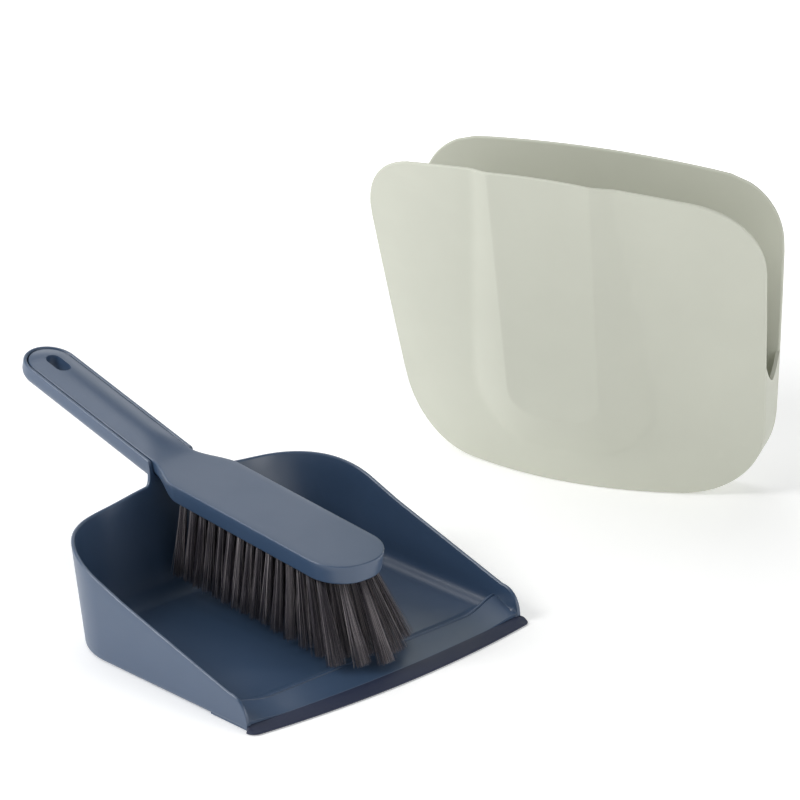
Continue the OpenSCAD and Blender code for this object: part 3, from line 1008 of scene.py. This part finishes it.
def noise(nodes, links, scale, detail=4.0, stretch=None):
    """Noise in object space, stretched along an axis where stretch is given."""
    coords = nodes.new("ShaderNodeTexCoord")
    texture = nodes.new("ShaderNodeTexNoise")
    texture.inputs["Scale"].default_value = scale
    texture.inputs["Detail"].default_value = detail
    if stretch:
        mapping = nodes.new("ShaderNodeMapping")
        mapping.inputs["Scale"].default_value = stretch
        links.new(coords.outputs["Object"], mapping.inputs["Vector"])
        links.new(mapping.outputs["Vector"], texture.inputs["Vector"])
    else:
        links.new(coords.outputs["Object"], texture.inputs["Vector"])
    return texture.outputs["Fac"]


def ramp(nodes, links, source, stops):
    """Colour ramp over source, with (place, value or colour) stops."""
    node = nodes.new("ShaderNodeValToRGB")
    elements = node.color_ramp.elements
    while len(elements) < len(stops):
        elements.new(0.5)
    for element, (place, value) in zip(elements, stops):
        element.position = place
        element.color = (value, value, value, 1) if isinstance(value, float) else (*value, 1)
    links.new(source, node.inputs["Fac"])
    return node.outputs["Color"]


def bump(nodes, links, source, strength, distance, before=None):
    """Bump from source, on top of the bump before where that is given."""
    node = nodes.new("ShaderNodeBump")
    node.inputs["Strength"].default_value = strength
    node.inputs["Distance"].default_value = distance
    links.new(source, node.inputs["Height"])
    if before is not None:
        links.new(before, node.inputs["Normal"])
    return node.outputs["Normal"]


def mixed(nodes, links, factor, tone, other):
    """Colour that goes from tone to the fixed colour other as factor goes from 0 to 1."""
    mix = nodes.new("ShaderNodeMix")
    mix.data_type = "RGBA"
    links.new(tone, mix.inputs["A"])
    mix.inputs["B"].default_value = (*other, 1)
    links.new(factor, mix.inputs["Factor"])
    return mix.outputs["Result"]


def multiplied(nodes, links, source, other):
    """Product of source and other, which is a number or another output."""
    node = nodes.new("ShaderNodeMath")
    node.operation = "MULTIPLY"
    links.new(source, node.inputs[0])
    if isinstance(other, float):
        node.inputs[1].default_value = other
    else:
        links.new(other, node.inputs[1])
    return node.outputs["Value"]


def map_range(nodes, links, source, start, end, low, high):
    """Map Range node that takes source from the range start to end to the range low to high."""
    node = nodes.new("ShaderNodeMapRange")
    for name, value in (("From Min", start), ("From Max", end), ("To Min", low), ("To Max", high)):
        node.inputs[name].default_value = value
    links.new(source, node.inputs["Value"])
    return node


def moulded(name, base, rough, grain, wear, shine=0.5):
    """Moulded plastic or rubber: cloudy colour, uneven gloss, fine grain and light scuffs."""
    mat, nodes, links, shader = material(name)
    cloud = noise(nodes, links, 14.0, 3.0)
    low = tuple(c * 0.975 for c in base)
    high = tuple(min(1.0, c * 1.025) for c in base)
    tone = ramp(nodes, links, cloud, [(0.3, low), (0.7, high)])
    scratch = noise(nodes, links, 90.0, 5.0, (1.0, 0.12, 1.0))
    marks = ramp(nodes, links, scratch, [(0.62, 0.0), (0.74, 1.0)])
    scuffed = tuple(min(1.0, c * 1.25 + 0.01) for c in base)
    worn = mixed(nodes, links, multiplied(nodes, links, marks, wear), tone, scuffed)
    links.new(worn, shader.inputs["Base Color"])
    patch = noise(nodes, links, 35.0, 4.0)
    gloss = ramp(nodes, links, patch, [(0.25, rough - 0.05), (0.75, rough + 0.06)])
    links.new(gloss, shader.inputs["Roughness"])
    fine = noise(nodes, links, 2600.0, 2.0)
    broad = noise(nodes, links, 60.0, 2.0)
    first = bump(nodes, links, fine, grain, 0.00006)
    links.new(bump(nodes, links, broad, 0.06, 0.0006, first), shader.inputs["Normal"])
    shader.inputs["Specular IOR Level"].default_value = shine
    shader.inputs["IOR"].default_value = 1.49
    return mat


def bristle_material():
    """Charcoal filaments with brown and violet tones, lighter towards the frayed tips."""
    mat, nodes, links, shader = material("bristles")
    coords = nodes.new("ShaderNodeTexCoord")
    split = nodes.new("ShaderNodeSeparateXYZ")
    links.new(coords.outputs["Object"], split.inputs["Vector"])
    shade = nodes.new("ShaderNodeAttribute")
    shade.attribute_name = "shade"
    strand = shade.outputs["Fac"]
    tone = ramp(nodes, links, strand, [(0.1, (0.030, 0.026, 0.035)), (0.6, (0.100, 0.088, 0.104)),
                                       (0.97, (0.44, 0.40, 0.41))])
    tip = map_range(nodes, links, split.outputs["Z"], 0.004, 0.026, 0.35, 0.0)
    frayed = mixed(nodes, links, tip.outputs["Result"], tone, (0.24, 0.22, 0.225))
    links.new(frayed, shader.inputs["Base Color"])
    links.new(ramp(nodes, links, strand, [(0.3, 0.38), (0.7, 0.55)]), shader.inputs["Roughness"])
    fine = noise(nodes, links, 3000.0, 2.0)
    links.new(bump(nodes, links, fine, 0.2, 0.00003), shader.inputs["Normal"])
    return mat


def wire_material():
    """Bare steel wire with a drawn grain."""
    mat, nodes, links, shader = material("anchor_wire")
    shader.inputs["Metallic"].default_value = 1.0
    grain = noise(nodes, links, 1500.0, 3.0, (1.0, 0.1, 1.0))
    steel = ramp(nodes, links, grain, [(0.3, (0.5, 0.5, 0.5)), (0.7, (0.68, 0.68, 0.67))])
    links.new(steel, shader.inputs["Base Color"])
    links.new(ramp(nodes, links, grain, [(0.3, 0.25), (0.7, 0.42)]), shader.inputs["Roughness"])
    links.new(bump(nodes, links, grain, 0.3, 0.00005), shader.inputs["Normal"])
    return mat


slate = moulded("slate_plastic", (0.041, 0.077, 0.144), 0.345, 0.10, 0.10, 0.9)
navy = moulded("navy_rubber", (0.016, 0.024, 0.058), 0.5, 0.15, 0.06)
sage = moulded("sage_plastic", (0.575, 0.585, 0.50), 0.55, 0.25, 0.05)
bristles = bristle_material()
wire = wire_material()

# ---- pieces ----
tub = build_tub()
mouth_ramp = build_ramp()
trough = build_trough()
cut(trough, slot_cutter(2.0, -40.0, 0.6))
close_up(trough, 40)
pan = joined("dustpan_shell", [tub, mouth_ramp, trough])
finish_piece(pan, "dustpan", slate, ["dustpan_body"])
finish_piece(build_lip(), "dustpan", navy, ["rubber_lip"])

brush = build_brush()
cut(brush, slot_cutter(CROWN - 0.25, -40.0, 0.9))
close_up(brush, 30)
finish_piece(brush, "brush", slate, ["brush_body"])

for row in range(1, 6):
    node = "tuft_row_%d" % row
    finish_piece(build_tufts(node, row), "brush", bristles, [node])

anchors = frame["nodes"]["tuft_anchors"]
anchors.data.materials.clear()
anchors.data.materials.append(wire)

finish_piece(build_holder(), "holder", sage, ["holder_shell"])

# ---- stage ----
STAGE_CENTRE = (0.1, 0.12, 0.0)
NEAR_GLOW = 0.3
FAR_GLOW = 0.85
GLOW_START = 0.45
GLOW_END = 0.9
HORIZON = 1.0
ZENITH = 0.15
SKY_START = 0.38
SKY_END = 0.62
FRONT_SKY = 0.45
REAR_SKY = 1.1


def stage_floor():
    """Large flat pale floor. It glows more with distance, so that it fades into white round the object."""
    mesh = bpy.data.meshes.new("floor")
    corners = [(-8.0, -6.0, 0.0), (8.0, -6.0, 0.0), (8.0, 8.0, 0.0), (-8.0, 8.0, 0.0)]
    mesh.from_pydata(corners, [], [(0, 1, 2, 3)])
    obj = bpy.data.objects.new("floor", mesh)
    bpy.context.scene.collection.objects.link(obj)
    obj.location.z = -0.0004
    mat, nodes, links, shader = material("pale_floor")
    shade = noise(nodes, links, 3.0, 2.0)
    tone = ramp(nodes, links, shade, [(0.3, (0.90, 0.90, 0.90)), (0.7, (0.915, 0.915, 0.915))])
    links.new(tone, shader.inputs["Base Color"])
    shader.inputs["Roughness"].default_value = 0.9
    shader.inputs["Specular IOR Level"].default_value = 0.1
    shader.inputs["Emission Color"].default_value = (1.0, 1.0, 1.0, 1)
    coords = nodes.new("ShaderNodeTexCoord")
    away = nodes.new("ShaderNodeVectorMath")
    away.operation = "DISTANCE"
    away.inputs[1].default_value = STAGE_CENTRE
    links.new(coords.outputs["Object"], away.inputs[0])
    glow = map_range(nodes, links, away.outputs["Value"], GLOW_START, GLOW_END, NEAR_GLOW, FAR_GLOW)
    links.new(glow.outputs["Result"], shader.inputs["Emission Strength"])
    mesh.materials.append(mat)


def area_light(name, place, size, power, height=None):
    """White area light aimed at the middle of the set, square unless height is given."""
    data = bpy.data.lights.new(name, "AREA")
    data.energy = power
    data.shape = "RECTANGLE"
    data.size = size
    data.size_y = height or size
    obj = bpy.data.objects.new(name, data)
    obj.location = place
    target = Vector((STAGE_CENTRE[0], STAGE_CENTRE[1], 0.05))
    obj.rotation_euler = (target - Vector(place)).to_track_quat("-Z", "Y").to_euler()
    bpy.context.scene.collection.objects.link(obj)


def studio_sky():
    """Sky that dims with height, and is brighter behind the set than in front of it."""
    world = bpy.data.worlds.new("studio")
    bpy.context.scene.world = world
    world.use_nodes = True
    nodes, links = world.node_tree.nodes, world.node_tree.links
    coords = nodes.new("ShaderNodeTexCoord")
    split = nodes.new("ShaderNodeSeparateXYZ")
    links.new(coords.outputs["Generated"], split.inputs["Vector"])
    height = map_range(nodes, links, split.outputs["Z"], SKY_START, SKY_END, HORIZON, ZENITH)
    height.interpolation_type = "SMOOTHSTEP"
    side = map_range(nodes, links, split.outputs["Y"], -1.0, 1.0, FRONT_SKY, REAR_SKY)
    strength = multiplied(nodes, links, height.outputs["Result"], side.outputs["Result"])
    links.new(strength, nodes["Background"].inputs["Strength"])
    nodes["Background"].inputs["Color"].default_value = (0.97, 0.99, 1.0, 1)


def photo_camera():
    """Camera at the photographed angle, on the object's shared frame."""
    azimuth, elevation, distance = 43.6, 21.95, 2.9861
    target = Vector((0.3003, 0.3037, 0.0))
    ahead, across = unit(azimuth)
    level, down = unit(elevation)
    forward = Vector((across * level, ahead * level, -down))
    data = bpy.data.cameras.new("camera")
    data.lens = 200.0
    data.sensor_width = 36.0
    data.clip_start = 0.1
    data.clip_end = 20.0
    obj = bpy.data.objects.new("camera", data)
    obj.location = target - forward * distance
    obj.rotation_euler = forward.to_track_quat("-Z", "Y").to_euler()
    bpy.context.scene.collection.objects.link(obj)
    bpy.context.scene.camera = obj


stage_floor()
area_light("key", (-1.5, 0.9, 1.5), 0.9, 25.5)
area_light("fill", (0.7, -1.9, 0.8), 1.2, 10.0)
area_light("overhead", (0.3, 0.9, 2.2), 1.8, 17.0)
area_light("sheen", (2.3, 2.5, 1.5), 2.6, 4.5, 1.3)
studio_sky()
photo_camera()
bpy.context.scene.view_settings.view_transform = "Standard"
